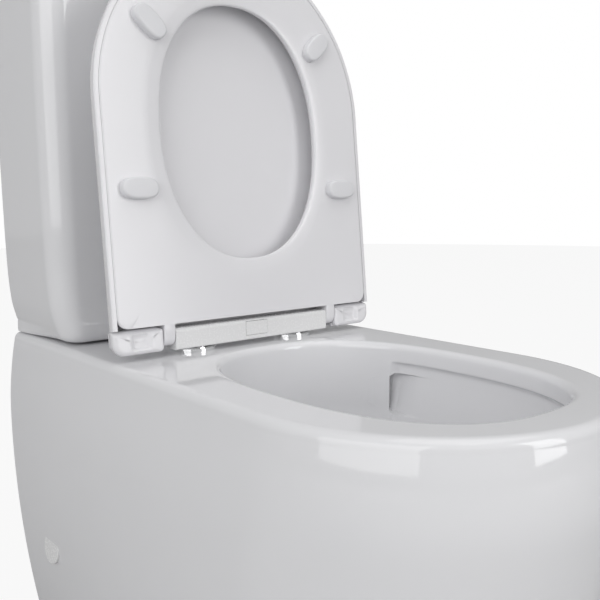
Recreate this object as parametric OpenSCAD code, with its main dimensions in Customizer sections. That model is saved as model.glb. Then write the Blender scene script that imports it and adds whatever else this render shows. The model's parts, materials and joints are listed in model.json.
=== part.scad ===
/* [Pan] */
// Height of the pan's deck and rim above the floor
pan_h = 400; // [395:1:405]
// Distance from the wall to the front of the pan
pan_depth = 680; // [670:1:700]
// Half the width of the pan at its rim
pan_half_w = 178; // [176:1:180]
// Thickness of the fired china in the pan's skirt
skirt_t = 11; // [9:1:13]
// Half the width of the bowl's opening
bowl_half_w = 123; // [118:1:126]
// Outside radius of the soil spigot
spigot_r = 51; // [51:0.5:52]

/* [Cistern] */
// Height of the cistern without its lid
tank_h = 414; // [410:1:420]
// Half the width of the cistern at its top
tank_half_w = 187; // [184:1:188]
// Depth of the cistern from front to back
tank_d = 147; // [145:1:150]
// Thickness of the cistern's china wall
tank_wall = 9; // [8:0.5:11]
// Height of the cistern lid
tank_lid_h = 34; // [32:1:38]

/* [Seat] */
// Height of the hinge axis above the pan's deck
hinge_up = 21; // [21:0.5:22]
// Distance from the wall to the hinge axis
hinge_from_wall = 250; // [245:1:255]
// Angle that the open seat leans back past upright
lean = 5.7; // [4:0.1:6]
// Distance from the hinge axis to the tip of the ring
ring_reach = 414; // [405:1:416]
// Half the width of the ring
ring_half_w = 170; // [166:0.5:172]
// Half the width of the hole in the ring
hole_half_w = 104.5; // [100:0.5:108]

/* [Hidden] */
$fn = 48;
wall_y = pan_depth / 2;
front_y = wall_y - pan_depth;
hinge_y = wall_y - hinge_from_wall;
hinge_z = pan_h + hinge_up;
open_turn = 90 + lean;
gap = 0.3;                      // running gap between separate pieces

// Cistern
tank_z = pan_h + 2;
tank_top = tank_z + tank_h;
tank_front = wall_y - tank_d;
tank_mid_y = wall_y - tank_d / 2;
lid_top = tank_top + tank_lid_h;

// Holes through the pan's deck and the cistern's floor
inlet_y = tank_mid_y + 2;
bolt_x = 78;                    // close coupling bolts
fill_x = -128;                  // fill valve tail
seat_bolt_x = 68;               // seat fixings
seat_bolt_y = hinge_y + 16;
pillar_y = hinge_y + 2;
side_fix_z = 155;
side_fix_y = wall_y - 92;
side_half_w = 179.65;           // half the width of the skirt at the side fixings
side_slope = 5.8;               // how far the skirt leans out there, degrees

// Colours
china = [0.86, 0.86, 0.87];
plastic = [0.84, 0.84, 0.85];
grey = [0.55, 0.56, 0.58];
dark = [0.2, 0.2, 0.21];
metal = [0.78, 0.79, 0.8];
brass = [0.8, 0.68, 0.4];

// ---------------------------------------------------------------- outlines

// One signed power, for superellipses.
function spow(v, e) = sign(v) * pow(abs(v), e);

// A superellipse of half-sizes a and b about (0, cy).
function super_loop(a, b, cy, e, n = 48) =
    [for (i = [0:n - 1]) let (t = 360 * i / n) [a * spow(cos(t), 2 / e), cy + b * spow(sin(t), 2 / e)]];

// A D: straight sides, a half ellipse to the front (-Y) and small corners of radius c at the back.
function d_loop(w, front, nose, back, c = 1, n = 28) = concat(
    [for (i = [0:n]) let (t = 180 + 180 * i / n) [w * cos(t), front + nose + nose * sin(t)]],
    [for (i = [0:4]) let (t = 90 * i / 4) [w - c + c * cos(t), back - c + c * sin(t)]],
    [for (i = [0:4]) let (t = 90 + 90 * i / 4) [c - w + c * cos(t), back - c + c * sin(t)]]);

// A rectangle with rounded corners: x from -w to w, y from y0 to y1, radius c at y0 and d at y1.
function box_loop(w, y0, y1, c, d) = concat(
    [for (i = [0:6]) let (t = 180 + 90 * i / 6) [c - w + c * cos(t), y0 + c + c * sin(t)]],
    [for (i = [0:6]) let (t = 270 + 90 * i / 6) [w - c + c * cos(t), y0 + c + c * sin(t)]],
    [for (i = [0:3]) let (t = 90 * i / 3) [w - d + d * cos(t), y1 - d + d * sin(t)]],
    [for (i = [0:3]) let (t = 90 + 90 * i / 3) [d - w + d * cos(t), y1 - d + d * sin(t)]]);

// A closed skin through loops of the same number of points: levels is a list of [height, loop], lowest first.
module loft(levels) {
    n = len(levels[0][1]);
    last = (len(levels) - 1) * n;
    points = [for (l = levels) for (p = l[1]) [p[0], p[1], l[0]]];
    sides = [for (j = [0:n:last - n]) for (i = [0:n - 1])
        let (a = j + i, b = j + (i + 1) % n) each [[a, a + n, b], [a + n, b + n, b]]];
    floor_face = [for (i = [0:n - 1]) i];
    roof_face = [for (i = [n - 1:-1:0]) last + i];
    polyhedron(points, concat([floor_face, roof_face], sides));
}

module mirrored() {
    children();
    mirror([1, 0, 0]) children();
}

// A cylinder lying along X from x0 to x1.
module bar_x(r, x0, x1, y = 0, z = 0) {
    translate([x0, y, z]) rotate([0, 90, 0]) cylinder(r = r, h = x1 - x0);
}

module tube(r, bore, h) {
    difference() {
        cylinder(r = r, h = h);
        translate([0, 0, -1]) cylinder(r = bore, h = h + 2);
    }
}

module hex_nut(across, bore, h) {
    difference() {
        cylinder(r = across / sqrt(3), h = h, $fn = 6);
        translate([0, 0, -1]) cylinder(r = bore, h = h + 2, $fn = 48);
    }
}

// Puts what is drawn in the closed seat's own frame (x, -forward, up from the hinge axis) at the open rest.
module opened() {
    translate([0, hinge_y, hinge_z]) rotate([-open_turn, 0, 0]) children();
}

// ---------------------------------------------------------------- pan

// The skirt's half-width at height z, and how far its nose sets back from the front.
widest_z = 300;
nose_z = 330;
function skirt_w(z) = pan_half_w + 9 - (z < widest_z ? 32 * pow(1 - z / widest_z, 2) : 9 * pow((z - widest_z) / 91, 2));
function skirt_back(z) = z < nose_z ? 70 * pow(1 - z / nose_z, 1.15) : 7 * pow((z - nose_z) / 61, 2);
function skirt_loop(z, inset, rim = 0) = let (w = skirt_w(z))
    d_loop(w - inset - rim, front_y + skirt_back(z) + inset + rim, w + 4 - inset - rim / 2, wall_y + inset, 1);

// The pan's outer form, or the hollow inside it, inset from it on the sides, front and top and open elsewhere.
module pan_outer(inset) {
    top = pan_h - (inset > 0 ? 13 : 0);
    low = inset > 0 ? -5 : 0;
    loft(concat(
        [for (z = [0, 45, 90, 135, 180, 225, 270, 300, 330, 350, 370]) [z > 0 ? z : low, skirt_loop(z, inset)]],
        [for (r = [[9, 0], [5, 1], [2, 3.5], [0, 9]]) [top - r[0], skirt_loop(pan_h - 9, inset, r[1])]]));
}

// The bowl at height z: half-width, half-length, where its middle is, and how square it is.
bowl_back = hinge_y - 32;
bowl_levels = [
    [132, 40, 46, -26, 2], [155, 54, 64, -22, 2.1], [180, 68, 84, -18, 2.2], [215, 84, 108, -13, 2.25],
    [250, 98, 129, -9, 2.3], [285, 110, 149, -5, 2.4], [320, 119, 164, -2, 2.45], [350, 125, 173, 1, 2.5],
    [372, 128, 177, 3, 2.5], [378, bowl_half_w + 1, 173, 1, 2.5], [381, bowl_half_w, 172, 0, 2.5],
    [pan_h + 1, bowl_half_w, 172, 0, 2.5]
];

module bowl(grow) {
    loft([for (b = bowl_levels) [b[0] - (b[0] < 140 ? grow : 0) - (b[0] > pan_h && grow > 0 ? 8 : 0),
        super_loop(b[1] + grow, b[2] + grow, bowl_back + b[3] - b[2], b[4], 40)]]);
}

// The trap rises behind the bowl to a weir and falls into the level run to the spigot.
weir_y = 150;
spigot_z = 180;
module trapway(rise_r, run_r, run_y0, run_y1) {
    translate([0, 6, 124]) rotate([-53, 0, 0]) translate([0, 0, 28 - rise_r]) cylinder(r = rise_r, h = 120 + 2 * rise_r);
    translate([0, run_y0, spigot_z]) rotate([-90, 0, 0]) cylinder(r = run_r, h = run_y1 - run_y0);
}

// The flush water's way from the deck, round the bowl, to one slot on each side.
duct_z = 320;
duct_h = 50;
duct_half_w = 40;
slot_y = -16;
module duct(grow) {
    translate([-duct_half_w - grow, 30, duct_z - grow])
        cube([2 * (duct_half_w + grow), inlet_y + duct_half_w - 30 + grow, duct_h + 2 * grow]);
    intersection() {
        translate([0, 0, duct_z - grow + 0.5]) linear_extrude(duct_h + 2 * grow - 1)
            polygon(super_loop(bowl_half_w + 25 + grow, 186 + grow, bowl_back - 172, 2.5, 36));
        translate([-180, slot_y - 9 - grow, 200]) cube([360, 150, 250]);
    }
}

inlet_seat = pan_h - 18;        // where the doughnut washer sits
module pan() {
    color(china) difference() {
        union() {
            difference() {
                pan_outer(0);
                pan_outer(skirt_t);
            }
            bowl(9);
            duct(7);
            trapway(39, spigot_r + 1.5, weir_y - 8, wall_y - 100);
            translate([0, wall_y - 102, spigot_z]) rotate([-90, 0, 0]) cylinder(r = spigot_r, h = 62);
            translate([0, inlet_y, inlet_seat - 9]) cylinder(r = 56, h = 20);
            for (x = [-bolt_x, bolt_x]) translate([x, inlet_y, pan_h - 26]) cylinder(r = 17, h = 18);
            for (x = [-seat_bolt_x, seat_bolt_x])
                translate([x, seat_bolt_y, pan_h - 22]) cylinder(r = 18, h = 15);
            mirrored() translate([side_half_w, side_fix_y, side_fix_z]) rotate([0, 90 - side_slope, 0])
                translate([0, 0, -17]) cylinder(r = 26, h = 13);
        }
        difference() {
            duct(0);
            bowl(8.5);
        }
        bowl(0);
        mirrored() translate([100, slot_y - 7, duct_z + 1]) cube([34, 14, duct_h - 4]);
        trapway(30, 43, weir_y, wall_y);
        translate([0, inlet_y, inlet_seat - 25]) cylinder(r = 36, h = 70);
        translate([0, inlet_y, inlet_seat]) cylinder(r = 47, h = 40);
        for (x = [-bolt_x, bolt_x]) translate([x, inlet_y, pan_h - 40]) cylinder(r = 6, h = 50);
        for (x = [-seat_bolt_x, seat_bolt_x]) translate([x, seat_bolt_y, pan_h - 40]) cylinder(r = 7, h = 50);
        translate([fill_x, inlet_y + 6, pan_h - 40]) cylinder(r = 21, h = 50);
        mirrored() translate([side_half_w, side_fix_y, side_fix_z]) rotate([0, 90 - side_slope, 0]) {
            translate([0, 0, -30]) cylinder(r = 5, h = 40);
            translate([0, 0, -4]) cylinder(r = 20.4, h = 14);
        }
    }
}

// ---------------------------------------------------------------- cistern

// The tank at each height: what its half-width and front draw in by, and its front corners' radius.
tank_levels = [
    [0, 28, 14, 14], [1.5, 23, 9.5, 16], [4, 18.5, 5.5, 18], [8, 15, 2.5, 21], [14, 12.5, 0.8, 24], [22, 10, 0, 25],
    [38, 5.5, 0, 26], [70, 3.5, 0, 27], [180, 1, 0, 28], [300, 0, 0, 28], [tank_h, 0, 0, 28]
];

module tank_shape(inset) {
    loft([for (l = tank_levels) let (up = inset > 0 ? (l[0] == tank_h ? 1 : inset + 2) : 0)
        [tank_z + l[0] + up, box_loop(tank_half_w - l[1] - inset, tank_front + l[2] + inset, wall_y - inset,
            l[3] - inset, inset > 0 ? 3 : 6)]]);
}

module cistern_tank() {
    color(china) difference() {
        tank_shape(0);
        tank_shape(tank_wall);
        translate([0, inlet_y, tank_z - 5]) cylinder(r = 32.5, h = 30);
        for (x = [-bolt_x, bolt_x]) translate([x, inlet_y, tank_z - 5]) cylinder(r = 5.5, h = 30);
        translate([fill_x, inlet_y + 6, tank_z - 5]) cylinder(r = 11, h = 30);
        for (x = [-95, 95]) translate([x, wall_y - 15, tank_z + 340]) rotate([-90, 0, 0]) cylinder(r = 4, h = 30);
    }
}

module cistern_lid() {
    over = 3;
    color(china) difference() {
        union() {
            loft([for (l = [[2, 1.5], [4, 0], [tank_lid_h - 8, 0], [tank_lid_h - 4.5, 0.7], [tank_lid_h - 2, 2.5],
                    [tank_lid_h - 0.5, 5], [tank_lid_h, 9]])
                [tank_top + l[0], box_loop(tank_half_w + over - l[1], tank_front - over + l[1], wall_y - l[1] * 0.7,
                    30 - l[1], 8)]]);
            translate([0, 0, tank_top - 12]) linear_extrude(20)
                polygon(box_loop(tank_half_w - tank_wall - 2, tank_front + tank_wall + 2, wall_y - tank_wall - 2, 16, 4));
        }
        translate([0, 0, tank_top - 15]) linear_extrude(15 + tank_lid_h - 12)
            polygon(box_loop(tank_half_w - tank_wall - 9, tank_front + tank_wall + 9, wall_y - tank_wall - 9, 12, 3));
        translate([0, inlet_y, tank_top]) cylinder(r = 20, h = 60);
    }
    // four short feet keep the lid's rim just off the tank's top edge
    color(china) for (x = [-130, 130], y = [tank_front + 4.5, wall_y - 4.5])
        translate([x, y, tank_top]) cylinder(r = 3, h = 4);
}

// ---------------------------------------------------------------- flush button

button_r = 17;
button_travel = 6;
module flush_bezel() {
    color(metal) translate([0, inlet_y, 0]) difference() {
        union() {
            translate([0, 0, lid_top]) cylinder(r = 25, h = 2.4);
            translate([0, 0, lid_top - 34]) cylinder(r = 19.6, h = 35);
        }
        translate([0, 0, lid_top - 9]) cylinder(r = button_r + 0.4, h = 14);
        translate([0, 0, lid_top - 40]) cylinder(r = 14.5, h = 50);
    }
}

module bezel_back_nut() {
    color(plastic) translate([0, inlet_y, lid_top - 18.2]) tube(28, 19.62, 6);
}

// One half of the round push plate, and the stem under it.
module button_half(from, to, stem_x) {
    translate([0, inlet_y, 0]) {
        intersection() {
            translate([0, 0, lid_top - 2]) cylinder(r = button_r, h = 5);
            translate([from, -30, lid_top - 10]) cube([to - from, 60, 20]);
        }
        translate([stem_x, 0, lid_top - 96]) cylinder(r = 3, h = 95);
    }
}

module full_flush_button() { color(metal) button_half(-3.8, 30, 7); }
module half_flush_button() { color(metal) button_half(-30, -4.2, -9); }

// ---------------------------------------------------------------- flush valve

seat_z = tank_z + 30;           // the valve seat's height inside the tank
module flush_valve_base() {
    color(plastic) translate([0, inlet_y, 0]) difference() {
        union() {
            translate([0, 0, tank_z + 11.2]) cylinder(r = 46, h = 6);
            translate([0, 0, tank_z - 34]) cylinder(r = 30, h = 46);
            translate([0, 0, tank_z + 17]) cylinder(r = 36, h = seat_z - tank_z - 17);
        }
        translate([0, 0, tank_z - 40]) cylinder(r = 25, h = 90);
    }
}

module flush_valve_frame() {
    cage_top = lid_top - 150;
    color(plastic) translate([0, inlet_y, 0]) {
        for (a = [45, 135, 225, 315]) rotate([0, 0, a]) translate([39, -4, tank_z + 17.2])
            cube([4, 8, 120]);
        difference() {
            translate([0, 0, tank_z + 137]) tube(44, 36, cage_top - tank_z - 137);
            translate([30, -9, tank_z + 130]) cube([20, 18, 90]);
        }
        difference() {
            translate([0, 0, cage_top]) cylinder(r = 44, h = 8);
            translate([7, 0, cage_top - 2]) cylinder(r = 5, h = 14);
            translate([-9, 0, cage_top - 2]) cylinder(r = 5, h = 14);
            translate([0, 24, cage_top - 2]) cylinder(r = 10.52, h = 14);
        }
    }
}

module overflow_tube() {
    color(plastic) translate([0, inlet_y + 24, seat_z + 40]) tube(10.5, 9, lid_top - 110 - seat_z - 40);
}

module flush_plunger() {
    color(grey) translate([0, inlet_y, 0]) {
        translate([0, 0, seat_z + 4.2]) cylinder(r = 30, h = 8);
        translate([7, 0, seat_z + 12]) cylinder(r = 4, h = lid_top - 140 - seat_z - 12);
        translate([0, 24, seat_z + 12]) cylinder(r = 8.4, h = 40);
    }
}

module flush_seal() {
    color(dark) translate([0, inlet_y, seat_z + 0.2]) tube(33, 16, 3.8);
}

module half_flush_rod() {
    color(grey) translate([-9, inlet_y, 0]) {
        translate([0, 0, seat_z + 60]) cylinder(r = 4, h = lid_top - 96.5 - seat_z - 60);
        translate([0, 0, seat_z + 56]) cylinder(r = 8, h = 10);
    }
}

module flush_valve_nut() {
    color(plastic) translate([0, inlet_y, tank_z - 13]) difference() {
        cylinder(r = 43, h = 12.5);
        translate([0, 0, -1]) cylinder(r = 30.02, h = 16);
    }
}

module coupling_washer() {
    color(dark) translate([0, inlet_y, inlet_seat + 0.2]) tube(46.6, 30.3, 6.4);
}

module coupling_plate() {
    color(metal) translate([0, inlet_y, tank_z + 9.2]) difference() {
        union() {
            translate([-96, -14, 2]) cube([192, 28, 2]);
            translate([0, 0, 2]) cylinder(r = 54, h = 2);
        }
        translate([0, 0, -1]) cylinder(r = 46.4, h = 8);
        for (x = [-bolt_x, bolt_x]) translate([x, 0, -1]) cylinder(r = 4.3, h = 8);
    }
}

module coupling_bolts() {
    color(brass) for (x = [-bolt_x, bolt_x]) translate([x, inlet_y, 0]) {
        translate([0, 0, tank_z + 19.4]) cylinder(r = 7.5, h = 4.5, $fn = 6);
        translate([0, 0, pan_h - 70]) cylinder(r = 4, h = tank_z + 21 - pan_h + 70);
    }
}

module coupling_rubbers() {
    color(dark) for (x = [-bolt_x, bolt_x]) translate([x, inlet_y, 0]) {
        translate([0, 0, tank_z + 13.4]) tube(12, 4.1, 5.8);
        translate([0, 0, pan_h - 32.2]) tube(13, 4.1, 6);
    }
}

module coupling_wing_nuts() {
    color(brass) for (x = [-bolt_x, bolt_x]) translate([x, inlet_y, pan_h - 44.4]) {
        tube(9, 4.02, 12);
        for (s = [-1, 1]) translate([s * 14 - 6, -2, -4]) cube([12, 4, 12]);
    }
}

// ---------------------------------------------------------------- fill valve

fill_y = inlet_y + 6;
module fill_valve_body() {
    color(plastic) translate([fill_x, fill_y, 0]) difference() {
        union() {
            translate([0, 0, tank_z - 52]) cylinder(r = 10.48, h = 38);
            translate([0, 0, tank_z - 15]) cylinder(r = 9.8, h = 35);
            translate([0, 0, tank_z + 14.4]) cylinder(r = 17, h = 10);
            translate([0, 0, tank_z + 20]) cylinder(r = 9, h = 280);
            translate([0, 0, tank_z + 228]) cylinder(r = 13, h = 6);
        }
        translate([0, 0, tank_z - 60]) cylinder(r = 5.5, h = 330);
    }
}

arm_x = 39.5;                   // from the riser's axis to the arm's pivot
arm_z = tank_z + 301;
module fill_valve_cap() {
    color(grey) translate([fill_x, fill_y, tank_z + 300.2]) {
        cylinder(r = 18, h = 22);
        translate([10, -6, -1]) cube([34, 12, 15]);
    }
    color(grey) translate([fill_x + arm_x, fill_y - 13, arm_z]) rotate([-90, 0, 0]) cylinder(r = 2.5, h = 8);
}

float_z = tank_z + 234.3;
module float_cup() {
    color(plastic) translate([fill_x, fill_y, float_z]) difference() {
        cylinder(r = 24, h = 52);
        translate([0, 0, -4]) cylinder(r = 9.6, h = 60);
        translate([0, 0, -4]) difference() {
            cylinder(r = 21.8, h = 53);
            cylinder(r = 11.8, h = 60);
        }
    }
}

module float_arm() {
    color(grey) translate([fill_x + arm_x, fill_y - 11.6, arm_z]) difference() {
        union() {
            translate([-18, 0, -4]) cube([36, 4, 8]);
            translate([-18, 0, -14]) cube([4, 4, 12]);
        }
        translate([0, -2, 0]) rotate([-90, 0, 0]) cylinder(r = 2.6, h = 10);
    }
}

module fill_valve_washer() {
    color(dark) translate([fill_x, fill_y, tank_z + 11.2]) tube(16, 9.9, 3);
}

module fill_valve_nut() {
    color(plastic) translate([fill_x, fill_y, tank_z - 12.4]) tube(17, 9.86, 12);
}

// ---------------------------------------------------------------- seat fixings

module hinge_discs() {
    color(metal) for (x = [-seat_bolt_x, seat_bolt_x]) translate([x, seat_bolt_y, pan_h]) difference() {
        union() {
            cylinder(r = 26, h = 3.4);
            cylinder(r1 = 26, r2 = 24.4, h = 4.6);
        }
        translate([0, 0, -1]) cylinder(r = 4.2, h = 3.4);
    }
}

module hinge_bolts() {
    color(metal) for (x = [-seat_bolt_x, seat_bolt_x])
        translate([x, seat_bolt_y, pan_h - 66]) cylinder(r = 4, h = 68);
}

module hinge_pillars() {
    color(metal) for (x = [-seat_bolt_x, seat_bolt_x])
        translate([x, pillar_y, pan_h + 4.6]) {
            cylinder(r = 6.5, h = 13);
            translate([0, 0, 12]) cylinder(r1 = 6.5, r2 = 5, h = 3);
        }
}

module hinge_bolt_washers() {
    color(dark) for (x = [-seat_bolt_x, seat_bolt_x])
        translate([x, seat_bolt_y, pan_h - 34.2]) tube(16, 4.1, 12);
}

module hinge_bolt_nuts() {
    color(plastic) for (x = [-seat_bolt_x, seat_bolt_x]) translate([x, seat_bolt_y, pan_h - 52.4])
        difference() {
            union() {
                cylinder(r = 11, h = 18);
                for (a = [0, 90]) rotate([0, 0, a]) translate([-18, -2, 0]) cube([36, 4, 12]);
            }
            translate([0, 0, -1]) cylinder(r = 4.02, h = 20);
        }
}

// ---------------------------------------------------------------- hinge

bar_w = 104.3;
arm_in = 105;
arm_out = 118;
block_in = 118.7;
pin_end = 152;
pin_r = 5;
// The bar's section: forward is -Y, up is +Z from the hinge axis.
bar_front = 10;
bar_back = 9.5;
bar_up = 8;
bar_down = 15;
function corner(y, z, r, from, n = 5) = [for (i = [0:n]) let (t = from + 90 * i / n) [y + r * cos(t), z + r * sin(t)]];
bar_section = concat(
    corner(bar_back - 4, bar_up - 4, 4, 0),
    corner(4 - bar_front, bar_up - 4, 4, 90),
    corner(2 - bar_front, 2 - bar_down, 2, 180),
    corner(bar_back - 2, 2 - bar_down, 2, 270));

module along_x(x0, x1) {
    translate([x0, 0, 0]) rotate([90, 0, 90]) linear_extrude(x1 - x0) children();
}

module hinge_bar() {
    color(plastic) translate([0, hinge_y, hinge_z]) difference() {
        along_x(-bar_w, bar_w) polygon(bar_section);
        mirrored() bar_x(6.9, 22, bar_w - 6);
        bar_x(pin_r + 0.02, -bar_w - 1, bar_w + 1);
        for (x = [-seat_bolt_x, seat_bolt_x])
            translate([x, pillar_y - hinge_y, -bar_down - 1]) cylinder(r = 6.55, h = 30 - 9);
        translate([-15, -bar_front - 1, -10]) cube([30, 8, 16]);
        mirrored() translate([15.6, -0.4, -bar_down + 1.2]) cube([48, 4.8, 2.8]);
    }
}

module hinge_pins() {
    color(metal) translate([0, hinge_y, hinge_z]) mirrored() bar_x(pin_r, 90.2, pin_end);
}

module seat_dampers() {
    color(dark) translate([0, hinge_y, hinge_z]) mirrored() difference() {
        bar_x(6.5, 22.4, 59);
        bar_x(3, 40, 60);
    }
}

module release_button() {
    color(plastic) translate([0, hinge_y, hinge_z]) {
        translate([-14.6, -bar_front - 0.4, -9.6]) cube([29.2, 3, 15.2]);
    }
}

module release_latches() {
    color(metal) translate([0, hinge_y, hinge_z]) mirrored()
        translate([16, 0, -bar_down + 1.6]) cube([44, 4, 2]);
}

// ---------------------------------------------------------------- seat lid and ring, in the closed seat's frame

nose = ring_reach - 240;
// A D in the seat's frame: half-width w, tip at distance reach, back edge at distance rear.
function seat_loop(w, reach, rear, c) = d_loop(w, -reach, nose + (w - ring_half_w), -rear, c);

lid_low = -11;
lid_flat = 16.5;
edge_r = lid_flat - lid_low - 2;
module lid_outer(inset) {
    rear = inset > 0 ? 11.5 : -15;
    function shell(z, draw) = [z, seat_loop(175 - inset - draw, 419 - inset - draw,
        inset > 0 ? rear : rear + 0.35 * draw, 13)];
    loft(concat(
        [shell(lid_low - (inset > 0 ? 2 : 0), 0)],
        [for (a = [0:15:90]) shell(lid_low + 2 + (edge_r - inset) * sin(a), edge_r * (1 - cos(a)))],
        [[lid_flat + 1.6 - inset, seat_loop(130, 366, 40, 20)],
         [lid_flat + 3 - inset, seat_loop(80, 300, 90, 20)]]));
}

block_low = -9.5;
module seat_lid() {
    color(plastic) opened() difference() {
        union() {
            difference() {
                lid_outer(0);
                lid_outer(4);
                translate([-block_in, -13, -20]) cube([2 * block_in, 41, 32]);
                translate([-block_in, 10, -21]) cube([2 * block_in, 10, 60]);
                mirrored() translate([block_in - 1, -17, -22]) cube([171 - block_in, 17, 22]);
                mirrored() translate([block_in - 1.5, -1, -23]) cube([171.4 - block_in, 40, 23 + block_low]);
            }
            mirrored() bar_x(10.5, block_in + 0.2, 169.6);
        }
        mirrored() bar_x(pin_r + 0.05, block_in - 2, pin_end + 0.4);
        mirrored() intersection() {
            bar_x(16, 131, 150, -1, -23);
            translate([126, -10, -25]) cube([30, 20, 24]);
        }
    }
}

module lid_bumpers() {
    color(plastic) opened() for (x = [-140, 140], y = [-130, -275]) translate([x, y, 5.4])
        linear_extrude(6.5) polygon(super_loop(7, 9, 0, 2, 20));
}

ring_low = -12;
ring_high = 4.5;
ring_rear = 12;
module ring_outer() {
    function rim(z, draw, rear) = [z, seat_loop(ring_half_w - draw, ring_reach - draw, rear, 12)];
    loft([rim(ring_low, 2, ring_rear + 1), rim(ring_low + 0.8, 0.7, ring_rear + 0.3), rim(ring_low + 2.2, 0, ring_rear),
        rim(ring_low + 6, 1, ring_rear), rim(ring_high - 6, 6.5, ring_rear), rim(ring_high - 3, 12, ring_rear + 0.5),
        rim(ring_high - 1, 18, ring_rear + 2), rim(ring_high, 26, ring_rear + 5)]);
}

hole_near = 75;
hole_far = 351;
module seat_ring() {
    mid = (hole_near + hole_far) / 2;
    color(plastic) opened() difference() {
        union() {
            ring_outer();
            mirrored() {
                bar_x(10.5, arm_in, arm_out);
                translate([arm_in, -24, ring_low + 0.5]) cube([arm_out - arm_in, 24, 12]);
            }
        }
        loft([for (l = [[-1, 14], [0, 13], [0.4, 9.5], [1, 5.5], [1.8, 2.2], [3, 0.3], [5, 0], [10, 2], [14, 5], [17, 9]])
            [ring_low + l[0], super_loop(hole_half_w + l[1], (hole_far - hole_near) / 2 + l[1], -mid, 2.2, 40)]]);
        mirrored() bar_x(pin_r + 0.05, arm_in - 1, arm_out + 1);
        mirrored() translate([arm_in - 1, 0, -20]) cube([arm_out - arm_in + 2, 12, 9.6]);
    }
}

// A capsule-shaped pad: half-length a, half-width b, standing h below the ring.
module pad(x, s, turn) {
    translate([x, -s, ring_low - 8.6]) rotate([0, 0, turn]) linear_extrude(8.5)
        polygon(super_loop(20, 11, 0, 2.6, 28));
}

module ring_bumpers() {
    color(plastic) opened() mirrored() {
        pad(136, 151, 0);
        pad(111, 318, -42);
    }
}

// ---------------------------------------------------------------- floor fixings

module floor_brackets() {
    color(metal) mirrored() translate([120, side_fix_y, 0]) difference() {
        union() {
            translate([-22, -22, 0]) cube([45, 44, 4]);
            translate([19, -22, 0]) cube([4, 44, side_fix_z + 20]);
        }
        translate([0, 0, -1]) cylinder(r = 5, h = 8);
        translate([15, 0, side_fix_z - 3.9]) rotate([0, 90, 0]) cylinder(r = 5, h = 12);
    }
}

module side_fixing_screws() {
    color(metal) mirrored() translate([side_half_w, side_fix_y, side_fix_z]) rotate([0, 90 - side_slope, 0]) {
        translate([0, 0, -3.8]) cylinder(r1 = 5.5, r2 = 6.5, h = 2.2);
        translate([0, 0, -44]) cylinder(r = 3, h = 42);
    }
}

module side_fixing_caps() {
    color(plastic) mirrored() translate([side_half_w, side_fix_y, side_fix_z]) rotate([0, 90 - side_slope, 0])
        difference() {
            union() {
                translate([0, 0, -3.9]) cylinder(r = 20, h = 4.4);
                translate([0, 0, 0.4]) cylinder(r1 = 20, r2 = 19, h = 0.8);
            }
            translate([0, 0, -5]) cylinder(r = 14, h = 4);
        }
}

pan();
cistern_tank();
cistern_lid();
flush_bezel();
bezel_back_nut();
full_flush_button();
half_flush_button();
flush_valve_base();
flush_valve_frame();
overflow_tube();
flush_plunger();
flush_seal();
half_flush_rod();
flush_valve_nut();
coupling_washer();
coupling_plate();
coupling_bolts();
coupling_rubbers();
coupling_wing_nuts();
fill_valve_body();
fill_valve_cap();
float_cup();
float_arm();
fill_valve_washer();
fill_valve_nut();
hinge_discs();
hinge_bolts();
hinge_pillars();
hinge_bolt_washers();
hinge_bolt_nuts();
hinge_bar();
hinge_pins();
seat_dampers();
release_button();
release_latches();
seat_lid();
lid_bumpers();
seat_ring();
ring_bumpers();
floor_brackets();
side_fixing_screws();
side_fixing_caps();
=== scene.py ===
"""A close coupled toilet: a skirted back-to-wall pan, its cistern, and a raised seat on a lift-off hinge."""

import json
import math

import bmesh
import bpy
import numpy as np
from mathutils import Matrix, Vector


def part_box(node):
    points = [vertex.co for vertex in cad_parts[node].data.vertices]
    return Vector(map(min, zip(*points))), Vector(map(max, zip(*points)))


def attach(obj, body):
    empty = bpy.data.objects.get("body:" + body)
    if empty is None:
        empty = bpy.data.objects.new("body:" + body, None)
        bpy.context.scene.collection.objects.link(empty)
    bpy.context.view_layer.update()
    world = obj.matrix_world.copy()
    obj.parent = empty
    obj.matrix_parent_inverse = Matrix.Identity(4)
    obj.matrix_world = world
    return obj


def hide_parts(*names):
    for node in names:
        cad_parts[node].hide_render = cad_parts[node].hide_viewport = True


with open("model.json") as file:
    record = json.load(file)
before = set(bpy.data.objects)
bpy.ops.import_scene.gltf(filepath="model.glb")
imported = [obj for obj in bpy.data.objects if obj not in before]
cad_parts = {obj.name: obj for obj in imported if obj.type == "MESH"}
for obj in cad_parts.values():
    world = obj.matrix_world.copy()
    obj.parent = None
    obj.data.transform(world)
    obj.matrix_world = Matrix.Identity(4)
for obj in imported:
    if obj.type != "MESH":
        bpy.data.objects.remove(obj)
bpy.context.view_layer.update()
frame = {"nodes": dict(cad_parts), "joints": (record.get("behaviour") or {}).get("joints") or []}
MM = 0.001
TAU = 2 * math.pi


# ---------------------------------------------------------------- the frame's own places

def box_of(node):
    """A node's lowest and highest corners as two numpy rows."""
    return np.array([list(c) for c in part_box(node)])


pan_box, tank_box = box_of("pan"), box_of("cistern_tank")
front_y, wall_y, rim_z = pan_box[0, 1], pan_box[1, 1], pan_box[1, 2]
joint_at = {j["name"]: np.array(j["pos_m"]) for j in frame["joints"] if "pos_m" in j}
hinge_at = joint_at["lid_hinge"]
hinge_range = next(j["range_deg"] for j in frame["joints"] if j["name"] == "lid_hinge")
open_turn = math.radians(max(abs(a) for a in hinge_range))


# ---------------------------------------------------------------- numbers into shapes

def smooth(low, high, v):
    """0 below low, 1 above high, and an S curve between."""
    t = np.clip((np.asarray(v, float) - low) / (high - low), 0, 1)
    return t * t * (3 - 2 * t)


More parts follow.
